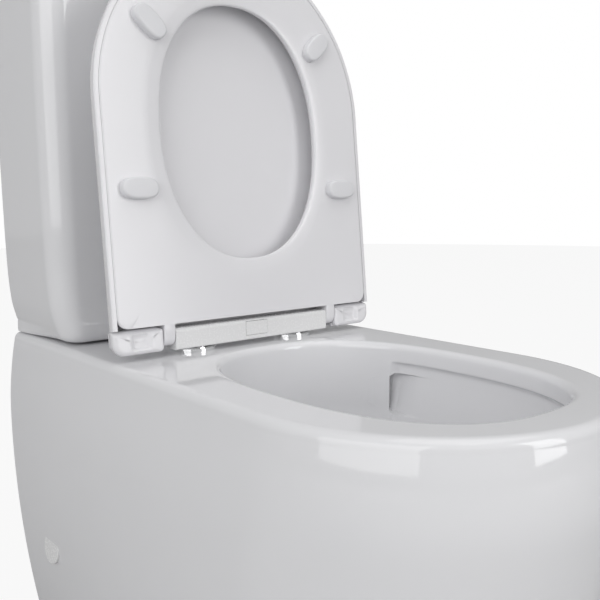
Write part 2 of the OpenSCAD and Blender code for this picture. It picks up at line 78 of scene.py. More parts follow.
def through(knots, at):
    """A smooth curve through rows of knots (first column the parameter), read at the given parameters."""
    k = np.asarray(knots, float)
    x, y = k[:, 0], k[:, 1:]
    step = np.diff(x)[:, None]
    slope = np.diff(y, axis=0) / step
    tangent = np.zeros_like(y)
    tangent[0], tangent[-1] = slope[0], slope[-1]
    same = slope[:-1] * slope[1:] > 0
    harmonic = 2 * slope[:-1] * slope[1:] / np.where(same, slope[:-1] + slope[1:], 1)
    tangent[1:-1] = np.where(same, harmonic, 0)
    at = np.clip(np.asarray(at, float), x[0], x[-1])
    i = np.clip(np.searchsorted(x, at, side="right") - 1, 0, len(x) - 2)
    h = step[i]
    t = ((at - x[i])[:, None]) / h
    return ((1 + 2 * t) * (1 - t) ** 2 * y[i] + t * (1 - t) ** 2 * h * tangent[i]
            + t * t * (3 - 2 * t) * y[i + 1] + t * t * (t - 1) * h * tangent[i + 1])


def spaced(*stretches):
    """Parameters in stretches of (start, end, count), each stretch without its end."""
    return np.concatenate([np.linspace(a, b, n, endpoint=False) for a, b, n in stretches])


def even_turns(n):
    """n angles round a full turn."""
    return np.arange(n) * TAU / n


def super_radius(phi, a, b, e):
    """The distance from the middle of a superellipse of half-sizes a and b to its edge, in direction phi."""
    return (np.abs(np.cos(phi) / a) ** e + np.abs(np.sin(phi) / b) ** e) ** (-1 / e)


def points(x, y, z):
    """Three arrays broadcast together as points."""
    return np.stack(np.broadcast_arrays(x, y, z), -1).astype(float)


# ---------------------------------------------------------------- meshes

def grid_quads(first, rows, cols, closed):
    """The quads of a grid of points numbered row by row from first, joined round its columns when closed."""
    r = np.arange(rows - 1)[:, None]
    c = np.arange(cols if closed else cols - 1)[None, :]
    n = (c + 1) % cols
    return (first + np.stack([r * cols + c, r * cols + n, (r + 1) * cols + n, (r + 1) * cols + c], -1)).reshape(-1, 4)


def mesh_of(name, sheets, sharp=38, weld=0.012):
    """One mesh from sheets of (points[rows, columns, 3], closed), welded where they meet, with its normals outward."""
    spots, quads, first = [], [], 0
    for grid, closed in sheets:
        rows, cols = grid.shape[:2]
        spots.append(grid.reshape(-1, 3))
        quads.append(grid_quads(first, rows, cols, closed))
        first += rows * cols
    spots, quads = np.concatenate(spots), np.concatenate(quads)
    mesh = bpy.data.meshes.new(name)
    mesh.vertices.add(len(spots))
    mesh.vertices.foreach_set("co", spots.astype(np.float32).ravel())
    mesh.loops.add(quads.size)
    mesh.loops.foreach_set("vertex_index", quads.astype(np.int32).ravel())
    mesh.polygons.add(len(quads))
    mesh.polygons.foreach_set("loop_start", (np.arange(len(quads)) * 4).astype(np.int32))
    mesh.update(calc_edges=True)
    body = bmesh.new()
    body.from_mesh(mesh)
    bmesh.ops.remove_doubles(body, verts=body.verts, dist=weld * MM)
    bmesh.ops.dissolve_degenerate(body, dist=weld * 0.2 * MM, edges=body.edges)
    bmesh.ops.recalc_face_normals(body, faces=body.faces)
    body.to_mesh(mesh)
    body.free()
    mesh.shade_smooth()
    mesh.set_sharp_from_angle(angle=math.radians(sharp))
    return mesh


def piece(name, sheets, body, coat, replaces=(), sharp=38, weld=0.012):
    """A finished piece: its mesh, the body it rides on, its material and the nodes it stands for."""
    made = bpy.data.objects.new(name, mesh_of(name, sheets, sharp, weld))
    bpy.context.scene.collection.objects.link(made)
    made.data.materials.append(coat)
    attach(made, body)
    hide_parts(*replaces)
    return made


def pole(grid, at_end=True):
    """The grid with one more row, all its points at the middle of its last (or first) row."""
    edge = grid[-1] if at_end else grid[0]
    tip = np.broadcast_to(edge.mean(0), edge.shape)[None]
    return np.concatenate([grid, tip] if at_end else [tip, grid])


def rounding(r, n=6):
    """A quarter round of radius r as (drawn in, dropped) rows, from the flat top out to the straight side."""
    a = np.linspace(0, math.pi / 2, n)
    return np.stack([r * (1 - np.sin(a)), r * (1 - np.cos(a))], -1)


def rounded_box(w, y0, y1, c, d, sides=(30, 40, 16)):
    """A box outline at each level: x from -w to w, y from y0 to y1, corner radius c at y0 and d at y1. All are arrays
    of one value per level; the outline's columns start at the middle of the front and go round by +X."""
    w, y0, y1, c, d = (np.atleast_1d(np.asarray(v, float))[:, None] for v in (w, y0, y1, c, d))
    front, side, turn = sides
    t = np.linspace(0, 1, front, endpoint=False)[None]
    q = np.linspace(0, math.pi / 2, turn, endpoint=False)[None]
    s = np.linspace(0, 1, side, endpoint=False)[None]
    half = [
        ((w - c) * t, y0 + 0 * t),
        (w - c + c * np.sin(q), y0 + c - c * np.cos(q)),
        (w + 0 * s, y0 + c + (y1 - d - y0 - c) * s),
        (w - d + d * np.cos(q), y1 - d + d * np.sin(q)),
        ((w - d) * (1 - t), y1 + 0 * t),
    ]
    x, y = (np.concatenate([np.broadcast_to(h[i], (len(w), h[i].shape[1])) for h in half], 1) for i in (0, 1))
    return (np.concatenate([x, np.zeros((len(w), 1)), -x[:, :0:-1]], 1),
            np.concatenate([y, y1, y[:, :0:-1]], 1))


def levels(x, y, z):
    """Outlines at heights: x and y with a row a level, z one value a level."""
    return points(x, y, np.asarray(z, float)[:, None])


# ---------------------------------------------------------------- shader groups

def new_group(name, inputs, outputs):
    """An empty node group with named float, colour or vector sockets."""
    kinds = {"f": "NodeSocketFloat", "c": "NodeSocketColor", "v": "NodeSocketVector"}
    group = bpy.data.node_groups.new(name, "ShaderNodeTree")
    for label, kind, default in inputs:
        socket = group.interface.new_socket(label, in_out="INPUT", socket_type=kinds[kind])
        socket.default_value = default
    for label, kind in outputs:
        group.interface.new_socket(label, in_out="OUTPUT", socket_type=kinds[kind])
    return group, group.nodes.new("NodeGroupInput"), group.nodes.new("NodeGroupOutput")


def add_node(tree, kind, links=(), **values):
    """A node with its properties and input values set, and its inputs linked by (input, source node, output)."""
    node = tree.nodes.new(kind)
    for key, value in values.items():
        if hasattr(node, key) and not key[0].isupper():
            setattr(node, key, value)
        else:
            node.inputs[key.replace("_", " ")].default_value = value
    for to, source, out in links:
        tree.links.new(source.outputs[out], node.inputs[to])
    return node


def mottle_group():
    """Slow and fine mottling of a moulded or fired surface: a tinted colour, a roughness and a height."""
    group, feed, result = new_group("surface_mottle", [
        ("Colour", "c", (0.8, 0.8, 0.8, 1)), ("Tint", "c", (0.75, 0.75, 0.76, 1)), ("Tint Share", "f", 0.3),
        ("Roughness", "f", 0.1), ("Roughness Spread", "f", 0.03), ("Slow Scale", "f", 9.0), ("Fine Scale", "f", 240.0),
        ("Fine Share", "f", 0.2)], [("Colour", "c"), ("Roughness", "f"), ("Height", "f")])
    place = add_node(group, "ShaderNodeTexCoord")
    slow = add_node(group, "ShaderNodeTexNoise", [("Vector", place, "Object"), ("Scale", feed, "Slow Scale")],
                    Detail=3.0, Roughness=0.55)
    fine = add_node(group, "ShaderNodeTexNoise", [("Vector", place, "Object"), ("Scale", feed, "Fine Scale")],
                    Detail=2.0, Roughness=0.5)
    band = add_node(group, "ShaderNodeMapRange", [("Value", slow, "Fac")], From_Min=0.3, From_Max=0.7)
    share = add_node(group, "ShaderNodeMath", [(0, band, "Result"), (1, feed, "Tint Share")], operation="MULTIPLY")
    mixed = add_node(group, "ShaderNodeMix", data_type="RGBA")
    group.links.new(share.outputs[0], mixed.inputs[0])
    group.links.new(feed.outputs["Colour"], mixed.inputs[6])
    group.links.new(feed.outputs["Tint"], mixed.inputs[7])
    swing = add_node(group, "ShaderNodeMapRange", [("Value", fine, "Fac")], From_Min=0.3, From_Max=0.7, To_Min=-1.0,
                     To_Max=1.0)
    both = add_node(group, "ShaderNodeMath", [(0, swing, "Result"), (1, feed, "Roughness Spread")],
                    operation="MULTIPLY")
    rough = add_node(group, "ShaderNodeMath", [(0, feed, "Roughness"), (1, both, 0)], operation="ADD", use_clamp=True)
    low = add_node(group, "ShaderNodeMath", [(0, fine, "Fac"), (1, feed, "Fine Share")], operation="MULTIPLY")
    height = add_node(group, "ShaderNodeMath", [(0, slow, "Fac"), (1, low, 0)], operation="ADD")
    group.links.new(mixed.outputs[2], result.inputs["Colour"])
    group.links.new(rough.outputs[0], result.inputs["Roughness"])
    group.links.new(height.outputs[0], result.inputs["Height"])
    return group


MOTTLE = mottle_group()


def coat_of(name, colour, tint, rough, spread=0.02, share=0.35, slow=9.0, fine=240.0, fine_share=0.2, bump=0.02,
            depth=0.4, metal=0.0, ior=1.5):
    """A material: one Principled shader fed by the mottle group through a bump of the given depth in millimetres."""
    material = bpy.data.materials.new(name)
    material.use_nodes = True
    tree = material.node_tree
    shader = tree.nodes["Principled BSDF"]
    mottle = add_node(tree, "ShaderNodeGroup", node_tree=MOTTLE)
    for label, value in (("Colour", (*colour, 1)), ("Tint", (*tint, 1)), ("Tint Share", share), ("Roughness", rough),
                         ("Roughness Spread", spread), ("Slow Scale", slow), ("Fine Scale", fine),
                         ("Fine Share", fine_share)):
        mottle.inputs[label].default_value = value
    relief = add_node(tree, "ShaderNodeBump", [("Height", mottle, "Height")], Strength=bump, Distance=depth * MM)
    tree.links.new(mottle.outputs["Colour"], shader.inputs["Base Color"])
    tree.links.new(mottle.outputs["Roughness"], shader.inputs["Roughness"])
    tree.links.new(relief.outputs["Normal"], shader.inputs["Normal"])
    shader.inputs["Metallic"].default_value = metal
    shader.inputs["IOR"].default_value = ior
    return material


glaze = coat_of("fired_glaze", (0.79, 0.79, 0.805), (0.765, 0.767, 0.785), 0.06, spread=0.02, slow=7.0, fine=160.0,
                bump=0.25, depth=0.5, fine_share=0.05, ior=1.52)
seat_shell = coat_of("seat_thermoset", (0.79, 0.785, 0.805), (0.775, 0.77, 0.79), 0.2, spread=0.03, slow=11.0,
                     fine=420.0, bump=0.12, depth=0.25, fine_share=0.15)
pad_soft = coat_of("soft_pad", (0.74, 0.74, 0.76), (0.7, 0.7, 0.72), 0.42, spread=0.05, fine=600.0, bump=0.2,
                   depth=0.2, fine_share=0.5)
hinge_shell = coat_of("hinge_plastic", (0.8, 0.8, 0.8), (0.78, 0.78, 0.785), 0.26, spread=0.04, fine=500.0, bump=0.15,
                      depth=0.2, fine_share=0.4)
chrome = coat_of("chrome_plate", (0.86, 0.865, 0.87), (0.82, 0.825, 0.83), 0.07, spread=0.02, fine=500.0, bump=0.05,
                 depth=0.1, metal=1.0)
steel = coat_of("stainless_steel", (0.6, 0.6, 0.61), (0.52, 0.52, 0.53), 0.28, spread=0.08, fine=900.0, bump=0.1,
                depth=0.1, metal=1.0)
zinc = coat_of("zinc_plate", (0.6, 0.61, 0.62), (0.48, 0.5, 0.53), 0.38, spread=0.1, share=0.6, slow=45.0, fine=500.0,
               bump=0.2, depth=0.1, metal=1.0)
brass = coat_of("plain_brass", (0.78, 0.6, 0.3), (0.6, 0.44, 0.2), 0.3, spread=0.08, share=0.5, slow=60.0, fine=600.0,
                bump=0.15, depth=0.1, metal=1.0)
rubber = coat_of("black_rubber", (0.035, 0.035, 0.037), (0.06, 0.06, 0.06), 0.65, spread=0.1, slow=60.0, fine=900.0,
                 bump=0.3, depth=0.2, fine_share=0.6)
valve_white = coat_of("valve_white", (0.78, 0.79, 0.8), (0.72, 0.73, 0.75), 0.4, spread=0.06, slow=30.0, fine=600.0,
                      bump=0.15, depth=0.2, fine_share=0.4)
valve_grey = coat_of("valve_grey", (0.28, 0.31, 0.36), (0.22, 0.25, 0.3), 0.42, spread=0.06, slow=30.0, fine=600.0,
                     bump=0.15, depth=0.2, fine_share=0.4)
damper = coat_of("damper_barrel", (0.06, 0.06, 0.065), (0.09, 0.09, 0.095), 0.45, spread=0.08, slow=60.0, fine=700.0,
                 bump=0.15, depth=0.15, fine_share=0.4)


# ---------------------------------------------------------------- pan

RIM_ROUND, EDGE_ROUND = 9 * MM, 7 * MM       # the rim's outer rounding and the opening's edge
SKIRT_WALL, DECK_THICK, BOWL_WALL = 11 * MM, 13 * MM, 9
RIM_HALF_W = 178 * MM                        # the flat sides at rim height
WIDEST_Z, NOSE_Z = 300 * MM, 330 * MM
BOWL_MIDDLE = hinge_at[1] - 204 * MM
OPENING = (123 * MM, 172 * MM, BOWL_MIDDLE, 2.5)    # half-width, half-length, middle, squareness
OUTLET_Z, OUTLET_R = 180 * MM, 43
SPIGOT_END = wall_y - 40 * MM
DECK_LOW = rim_z - DECK_THICK
SLOT_Z, SLOT_HALF_H, SLOT_ROUND, SLOT_GAP = 344 * MM, 23 * MM, 8 * MM, 11 * MM
SLOT_LIP, SLOT_DEPTH = 1.5 * MM, 26 * MM     # how softly the recess starts, and how far the slot runs back
SLOT_PHI = math.radians(40.4)
SLOT_TURN = SLOT_PHI - 0.12                  # the direction that the slot's housing faces
POCKET = 10                                  # columns that fold back into each flush slot

# height, half-width, half-length, the rear's place behind the opening's, squareness
BOWL = np.array([[180, 68, 84, -18, 2.2], [215, 84, 108, -13, 2.25], [250, 98, 129, -9, 2.3], [285, 110, 149, -5, 2.4],
                 [320, 119.5, 164, -2, 2.45], [350, 125.5, 174, 1, 2.5], [366, 128, 178, 3, 2.5],
                 [374, 128.6, 178.5, 3.5, 2.5], [377.5, 127, 176.5, 3, 2.5], [379.5, 124.2, 173.4, 1.2, 2.5],
                 [381, 123, 172, 0, 2.5], [400, 123, 172, 0, 2.5]])
BOWL_HEIGHTS = np.concatenate([
    [389, 384, 382, 381, 380.3, 379.5, 378.7, 377.8, 376.6, 375, 373, 371, 369.5, 368.6, 368, 367.4, 366.8, 366.1,
     365.2, 364, 362.4, 360.2, 357, 353, 348, 342, 337, 333, 330, 327.8, 326, 324.6, 323.4, 322.4, 321.6, 320.9, 320,
     318.8, 317, 314, 310, 305], np.linspace(299, 184, 17)])

# down through the sump, over the weir and out: step, middle y and z, turn of the loop, half-width, half-length,
# squareness
TRAP = np.array([[0, -44, 180, 0, 68, 84, 2.2], [1, -31, 158, 12, 57, 67, 2.15], [2, -16, 141, 30, 47, 53, 2.1],
                 [3, 0, 132, 56, 39, 43, 2.0], [4, 15, 131, 86, 34, 37, 2.0], [5, 34, 144, 115, 31, 32, 2.0],
                 [6, 58, 163, 126.9, 30, 30, 2.0], [7, 84, 182.5, 126.9, 30, 30, 2.0], [8, 110, 199, 116, 31, 30, 2.0],
                 [9, 136, 204, 96, 34, 31, 2.0], [10, 158, 197, 80, 38, 36, 2.0], [11, 180, 188, 82, 42, 41, 2.0],
                 [12, 206, 182, 88, 43, 43, 2.0], [13, 240, 180, 90, 43, 43, 2.0], [14, 300, 180, 90, 43, 43, 2.0]])


def skirt_half_w(z):
    """The skirt's half-width: widest at WIDEST_Z, leaning in quadratically to the foot and a little to the rim."""
    z = np.asarray(z, float)
    low = 32 * MM * (1 - z / WIDEST_Z) ** 2
    high = 9 * MM * ((z - WIDEST_Z) / (91 * MM)) ** 2
    return RIM_HALF_W + 9 * MM - np.where(z < WIDEST_Z, low, high)


def skirt_set_back(z):
    """How far the nose sets back from the front: a near-quadratic lean below NOSE_Z, a small one above."""
    z = np.asarray(z, float)
    low = 70 * MM * np.clip(1 - z / NOSE_Z, 0, None) ** 1.15
    high = 7 * MM * ((z - NOSE_Z) / (61 * MM)) ** 2
    return np.where(z < NOSE_Z, low, high)


def bowl_loop(phi, a, b, cy, e):
    """A superellipse of half-sizes a and b about (0, cy), in each direction."""
    rad = super_radius(phi, a, b, e)
    return rad * np.cos(phi), cy + rad * np.sin(phi)


def opening_arc():
    """Distances along the opening's edge from the flush slot, forward positive, against direction."""
    phi = np.linspace(-math.pi / 2, math.pi / 2, 4001)
    x, y = bowl_loop(phi, OPENING[0], OPENING[1], 0, OPENING[3])
    run = np.concatenate([[0], np.cumsum(np.hypot(np.diff(x), np.diff(y)))])
    return phi, np.interp(SLOT_PHI, phi, run) - run


arc_phi, arc_run = opening_arc()


def pan_directions():
    """The columns' directions from the bowl's middle on the right half, their distances forward of the slot in
    millimetres, the first of the pocket's columns and the column at the rear corner."""
    def along(u):
        return np.interp(-np.asarray(u) * MM, -arc_run, arc_phi)
    near = np.array([44, 36, 29, 23, 18, 14, 10.5, 8, 6, 4.5, 3, 1.5])
    pocket = np.linspace(1.5, 0, POCKET + 2)[1:-1]
    behind = np.array([0, -1.5, -3.5, -6, -10, -15, -21])
    corner = math.atan2(wall_y - BOWL_MIDDLE, RIM_HALF_W)
    inner_corner = math.atan2(wall_y - BOWL_MIDDLE, RIM_HALF_W - SKIRT_WALL)
    ahead = np.linspace(-math.pi / 2, float(along(52)), 84)
    phi = np.concatenate([
        ahead, along(near), along(pocket), along(behind),
        np.linspace(float(along(-28)), corner, 20, endpoint=False), [corner, inner_corner],
        np.linspace(inner_corner, math.pi / 2, 12)[1:]])
    return phi, np.interp(phi, arc_phi, arc_run / MM), len(ahead) + len(near), int(np.argmin(np.abs(phi - corner)))


def skirt_outlines(phi, side):
    """Finds where each direction meets the rim's D outline: its rear line, flat side or elliptical nose. Gives a
    function that draws the skirt's loop at a height, drawn in by a wall and by the rim's rounding, and which
    columns are on the rear line."""
    cosine, sine = np.cos(phi), np.sin(phi)

    def nose_of(w):
        return w + 4 * MM
    w0, back0 = skirt_half_w(rim_z - RIM_ROUND), skirt_set_back(rim_z - RIM_ROUND)
    nose0 = nose_of(w0)
    nose_y = front_y + back0 + nose0
    far = 9.0
    with np.errstate(divide="ignore", invalid="ignore"):
        to_rear = np.where(sine > 0, (wall_y - BOWL_MIDDLE) / np.where(sine > 0, sine, 1), far)
        to_side = np.where(np.abs(cosine) > 1e-9, w0 / np.maximum(np.abs(cosine), 1e-9), far)
    straight = np.minimum(to_rear, to_side)
    off = BOWL_MIDDLE - nose_y
    qa = (cosine / w0) ** 2 + (sine / nose0) ** 2
    qb = 2 * off * sine / nose0 ** 2
    qc = (off / nose0) ** 2 - 1
    to_nose = (-qb + np.sqrt(np.maximum(qb * qb - 4 * qa * qc, 0))) / (2 * qa)
    reach = np.where(BOWL_MIDDLE + straight * sine > nose_y, straight, to_nose)
    ox, oy = reach * cosine, BOWL_MIDDLE + reach * sine
    is_rear, is_nose = oy > wall_y - 1e-6, oy < nose_y
    nose_t = np.arctan2((oy - nose_y) / nose0, ox / w0)
    side_f = np.clip((oy - nose_y) / (wall_y - nose_y), 0, 1)

    def skirt_loop(z, inset=0.0, rim=0.0):
        w = skirt_half_w(z) - inset - rim
        nose = nose_of(skirt_half_w(z)) - inset - rim / 2
        nose_middle = front_y + skirt_set_back(z) + inset + rim + nose
        rear = side * np.interp(np.abs(ox), [0, w0 - SKIRT_WALL, w0], [0, w - SKIRT_WALL, w])
        x = np.where(is_rear, rear, np.where(is_nose, w * np.cos(nose_t), side * w))
        y = np.where(is_rear, wall_y, np.where(is_nose, nose_middle + nose * np.sin(nose_t),
                                               nose_middle + side_f * (wall_y - nose_middle)))
        return x, y
    return skirt_loop, is_rear


def rim_rows(phi, skirt_loop):
    """Rows up the skirt's last stretch, over the rounded rim, in across the deck and over the opening's edge."""
    rows = [points(*skirt_loop(z), z) for z in (DECK_LOW, DECK_LOW + 2 * MM, rim_z - RIM_ROUND)]
    for a in np.linspace(0, math.pi / 2, 9)[1:]:
        rows.append(points(*skirt_loop(rim_z - RIM_ROUND, 0, RIM_ROUND * (1 - math.cos(a))),
                           rim_z - RIM_ROUND + RIM_ROUND * math.sin(a)))
    outer = rows[-1]
    half_w, half_l, middle, square = OPENING
    mouth = points(*bowl_loop(phi, half_w + EDGE_ROUND, half_l + EDGE_ROUND, middle, square), rim_z)
    for f in spaced((0, 1, 9))[1:]:
        g = smooth(0, 1, f) * 0.5 + f * 0.5
        rows.append(outer * (1 - g) + mouth * g)
    rows.append(mouth)
    for a in np.linspace(0, math.pi / 2, 8)[1:]:
        d = EDGE_ROUND * (1 - math.sin(a))
        rows.append(points(*bowl_loop(phi, half_w + d, half_l + d, middle, square),
                           rim_z - EDGE_ROUND * (1 - math.cos(a))))
    return rows


def bowl_rows(phi, u, fold, side):
    """Rows down the bowl. Ahead of each flush slot the wall is pushed out into a recess, inside a rounded outline that
    is open towards the front; the pocket's columns run back along the outer wall, across its end and forward along
    the housing's thin edge. Behind the slot the housing keeps the opening's line."""
    cosine, sine = np.cos(phi), np.sin(phi)
    back = BOWL_MIDDLE + OPENING[1]
    plain = fold == 0
    wall_side = np.where(plain, smooth(0, 12, u), 0.0)
    tangent = points(-math.sin(SLOT_TURN), math.cos(SLOT_TURN), 0.0)
    normal = points(math.cos(SLOT_TURN), math.sin(SLOT_TURN), 0.0)
    share = np.array([0.25, 0.5, 0.78, 1.0, 1.0, 0.7, 0.4, 0.12, 0.02, 0.0])
    out = np.array([1.0, 1.0, 1.0, 0.98, 0.34, 0.34, 0.34, 0.34, 0.26, 0.1])
    k = np.clip(fold.astype(int) - 1, 0, None)
    ahead = np.maximum(u, 0) * MM
    housing_x, housing_y = bowl_loop(phi, *OPENING)
    rows = []
    for z, (a, b, rear, e) in zip(BOWL_HEIGHTS * MM, through(BOWL, BOWL_HEIGHTS) * [MM, MM, MM, 1]):
        wall_x, wall_yy = bowl_loop(phi, a, b, back + rear - b, e)
        below = 1 - smooth(292 * MM, 332 * MM, z)
        rear_x, rear_y = housing_x + (wall_x - housing_x) * below, housing_y + (wall_yy - housing_y) * below
        x, y = rear_x + (wall_x - rear_x) * wall_side, rear_y + (wall_yy - rear_y) * wall_side
        high = SLOT_HALF_H - abs(z - SLOT_Z)
        cut = SLOT_ROUND - np.hypot(np.maximum(SLOT_ROUND - ahead, 0), max(SLOT_ROUND - high, 0))
        inside = np.where((ahead < SLOT_ROUND) & (high < SLOT_ROUND), cut, np.minimum(ahead, high))
        push = SLOT_GAP * (1 - smooth(3, 42, u)) * smooth(0, SLOT_LIP, inside) * (u > 0)
        edge_in = SLOT_ROUND - math.hypot(SLOT_ROUND - SLOT_LIP, SLOT_ROUND - high) if high < SLOT_ROUND else SLOT_LIP
        pocket_push = SLOT_GAP * float(smooth(0, SLOT_LIP, edge_in)) if high > 0 else 0.0
        deep = SLOT_DEPTH * float(smooth(SLOT_ROUND * 0.35, SLOT_ROUND * 1.1, high))
        offset = tangent * (share[k] * deep)[:, None] + normal * (out[k] * pocket_push)[:, None]
        offset[:, 0] *= side
        rows.append(np.where(plain[:, None], points(x + push * cosine, y + push * sine, z),
                             points(rear_x, rear_y, z) + offset))
    return rows


def tube_rows(phi, at, grow):
    """Loops along the trap at the given steps, their half-sizes grown by grow millimetres."""
    rows = []
    for cy, cz, turn, a, b, e in through(TRAP, at):
        rad = super_radius(phi, (a + grow) * MM, (b + grow) * MM, e)
        across, along, t = rad * np.cos(phi), rad * np.sin(phi), math.radians(turn)
        rows.append(points(across, cy * MM + along * math.cos(t), cz * MM + along * math.sin(t)))
    return rows


def spigot_rows(phi):
    """Loops out of the trap, round the spigot's end and back along its outside: radius, distance in from the end."""
    steps = [(OUTLET_R, 0), (44, 0), (50, 0), (51, 1), (51, 58), (52.5, 61)]
    places = [(r, SPIGOT_END - d * MM) for r, d in steps] + [(52.5, 215 * MM)]
    return [points(r * MM * np.cos(phi), y, OUTLET_Z + r * MM * np.sin(phi)) for r, y in places]


def bowl_back_rows(phi):
    """Loops up the outside of the bowl, from the trap to the underside of the deck."""
    rows = []
    for z in (180, 215, 250, 285, 320, 350, 372, DECK_LOW / MM):
        a, b, rear, e = through(BOWL, [min(z, 372)])[0]
        rows.append(points(*bowl_loop(phi, (a + BOWL_WALL) * MM, (b + BOWL_WALL) * MM,
                                      BOWL_MIDDLE + OPENING[1] + (rear - b) * MM, e), z * MM))
    return rows


def make_pan():
    """The pan's china as one skin. Columns are directions from the bowl's middle; rows run over the rim, across the
    deck, down the bowl, through the trap and out of the spigot, then back along the outside of the trap and bowl, out
    under the deck and down the inside of the skirt."""
    phi_r, u_r, first, last = pan_directions()
    phi = np.concatenate([phi_r, math.pi - phi_r[-2:0:-1]])
    u = np.concatenate([u_r, u_r[-2:0:-1]])
    n = len(phi)
    side = np.where(np.cos(phi) >= -1e-9, 1.0, -1.0)
    fold = np.zeros(n)
    fold[first:first + POCKET] = np.arange(POCKET) + 1
    fold[n - np.arange(first, first + POCKET)] = np.arange(POCKET) + 1
    skirt_loop, is_rear = skirt_outlines(phi, side)

    skin = np.array(rim_rows(phi, skirt_loop) + bowl_rows(phi, u, fold, side)
                    + tube_rows(phi, spaced((0, 6, 18), (6, 14, 18)), 0) + spigot_rows(phi)
                    + tube_rows(phi, spaced((11.4, 0, 20)), BOWL_WALL) + bowl_back_rows(phi))

    # under the deck, out to the inside of the skirt
    in_x, in_y = skirt_loop(DECK_LOW, SKIRT_WALL)
    in_x = np.where(is_rear, np.clip(skin[0, :, 0], -in_x.max(), in_x.max()), in_x)
    inner_top = points(in_x, in_y, DECK_LOW)
    under = np.array([skin[-1] * (1 - f) + inner_top * f for f in np.linspace(0, 1, 6)])

    # the skirt, outside and inside, from its foot to the deck; its columns stop at the wall
    order = np.concatenate([np.arange(n - last, n), np.arange(0, last + 1)])
    heights = np.concatenate([[0, 1.5, 4], np.linspace(14, 300, 24), np.linspace(310, DECK_LOW / MM, 8)]) * MM
    foot = np.concatenate([[1.5, 0.4], np.zeros(len(heights) - 2)]) * MM
    outside = np.array([points(*skirt_loop(z, 0, f), z)[order] for z, f in zip(heights, foot)])
    inside = np.array([points(*skirt_loop(z, SKIRT_WALL), z)[order] for z in heights])
    flat = [under, outside, inside, np.array([outside[0], inside[0]])]
    ends = [np.stack([outside[:, c], inside[:, c]], 1) for c in (0, -1)]
    return piece("pan_china", [(skin, True), (flat[0], True)] + [(g, False) for g in flat[1:] + ends], "root",
                 glaze, ["pan"], sharp=50)


# ---------------------------------------------------------------- seat

# lengths of the seat are in millimetres, s forward of the hinge axis and t above it when closed
COS_OPEN, SIN_OPEN = math.cos(open_turn), math.sin(open_turn)
RING_HALF_W, RING_REACH, NOSE_L = 170, 414, 174
RING_REAR, RING_CORNER, RING_TOP_SHIFT = 12, 12, 5
ARM_IN, ARM_OUT, ARM_REACH, ARM_R, ARM_LOW = 105.0, 118.0, 24, 10.5, -11.7
HOLE_MIDDLE, HOLE_HALF_L, HOLE_HALF_W, HOLE_SQUARE = 213.0, 138.0, 104.5, 2.2
LID_HALF_W, LID_REACH, LID_EDGE, LID_WALL, LID_CROWN = 175, 419, 25.5, 4, 3.2
CROWN_S = 200.0                              # where the lid's dome comes to its middle
BLOCK_IN, BLOCK_FORE = 118.7, 10.6           # the end blocks' inner face, and how far forward they reach
BLOCK_BOX = (118.95, 174.9, -14.9, BLOCK_FORE)      # x0, x1, s0, s1
SCOOP_X, SCOOP_S, SCOOP_HALF_X, SCOOP_HALF_S, SCOOP_DEPTH = 144.5, -2.5, 12.5, 8.5, 3.4

# the ring's side profile and the soft inner edge: height, drawn in
RING_SIDE = [(-12, 3.4), (-11.95, 2.2), (-11.7, 1.3), (-11.2, 0.6), (-10.4, 0.15), (-9.4, 0), (-7, 0.5), (-4, 2.6),
             (-1.5, 6.0), (0.5, 9.8), (2.2, 14.2), (3.4, 19), (4.2, 24), (4.5, 30)]
RING_HOLE = [(4.5, 12), (4.2, 9.3), (3, 6.4), (0.5, 3.8), (-2.5, 1.9), (-5, 0.7), (-7, 0.1), (-8.4, 0), (-9.4, 0.25),
             (-10.1, 1.0), (-10.6, 2.6), (-11.0, 5.2), (-11.35, 8), (-11.65, 11), (-11.9, 13.6), (-12, 15.2)]

PAD_HALF_L, PAD_HALF_W, PAD_EDGE, PAD_SQUARE = 20, 11, 2.6, 2.7
PADS = ((136, 151, 0.0), (111, 318, 42.0))   # x, s and turn of the right-hand pair


def raised(x, s, t):
    """Points of the closed seat, in millimetres, where the open rest has them."""
    x, s, t = np.broadcast_arrays(x, s, t)
    return np.stack([x * MM, hinge_at[1] + (SIN_OPEN * t - COS_OPEN * s) * MM,
                     hinge_at[2] + (SIN_OPEN * s + COS_OPEN * t) * MM], -1)


def with_steps(rows):
    """Rows numbered in a first column, for through()."""
    return [(i, *row) for i, row in enumerate(rows)]


def seat_outline(w, reach, rear, corner):
    """The seat's D at each level: half an ellipse to the tip at reach, straight sides w out, round rear corners. Its
    columns start at the tip and go round by +X; the rear line keeps one pair of columns at the end blocks' inner
    face."""
    w, reach, rear, corner = (np.atleast_1d(np.asarray(v, float))[:, None] for v in (w, reach, rear, corner))
    nose = NOSE_L + w - RING_HALF_W
    q = np.linspace(0, math.pi / 2, 46, endpoint=False)[None]
    f = np.concatenate([np.linspace(0, 0.94, 25), [0.947, 0.95, 0.975]])[None]
    c = np.linspace(0, math.pi / 2, 12, endpoint=False)[None]
    g = np.linspace(0, 1, 8)[None]
    h = np.linspace(0, 1, 14)[None, ::-1]
    inner = np.minimum(BLOCK_IN, 0.8 * (w - corner))
    half = [(w * np.sin(q), reach - nose + nose * np.cos(q)),
            (w + 0 * f, reach - nose + (rear + corner - reach + nose) * f),
            (w - corner + corner * np.cos(c), rear + corner - corner * np.sin(c)),
            (w - corner + (inner - w + corner) * g, rear + 0 * g),
            ((inner - 0.05) * h, rear + 0 * h)]
    x = np.concatenate([a for a, _ in half], 1)
    s = np.concatenate([np.broadcast_to(b, a.shape) for a, b in half], 1)
    return np.concatenate([x, -x[:, -2:0:-1]], 1), np.concatenate([s, s[:, -2:0:-1]], 1)


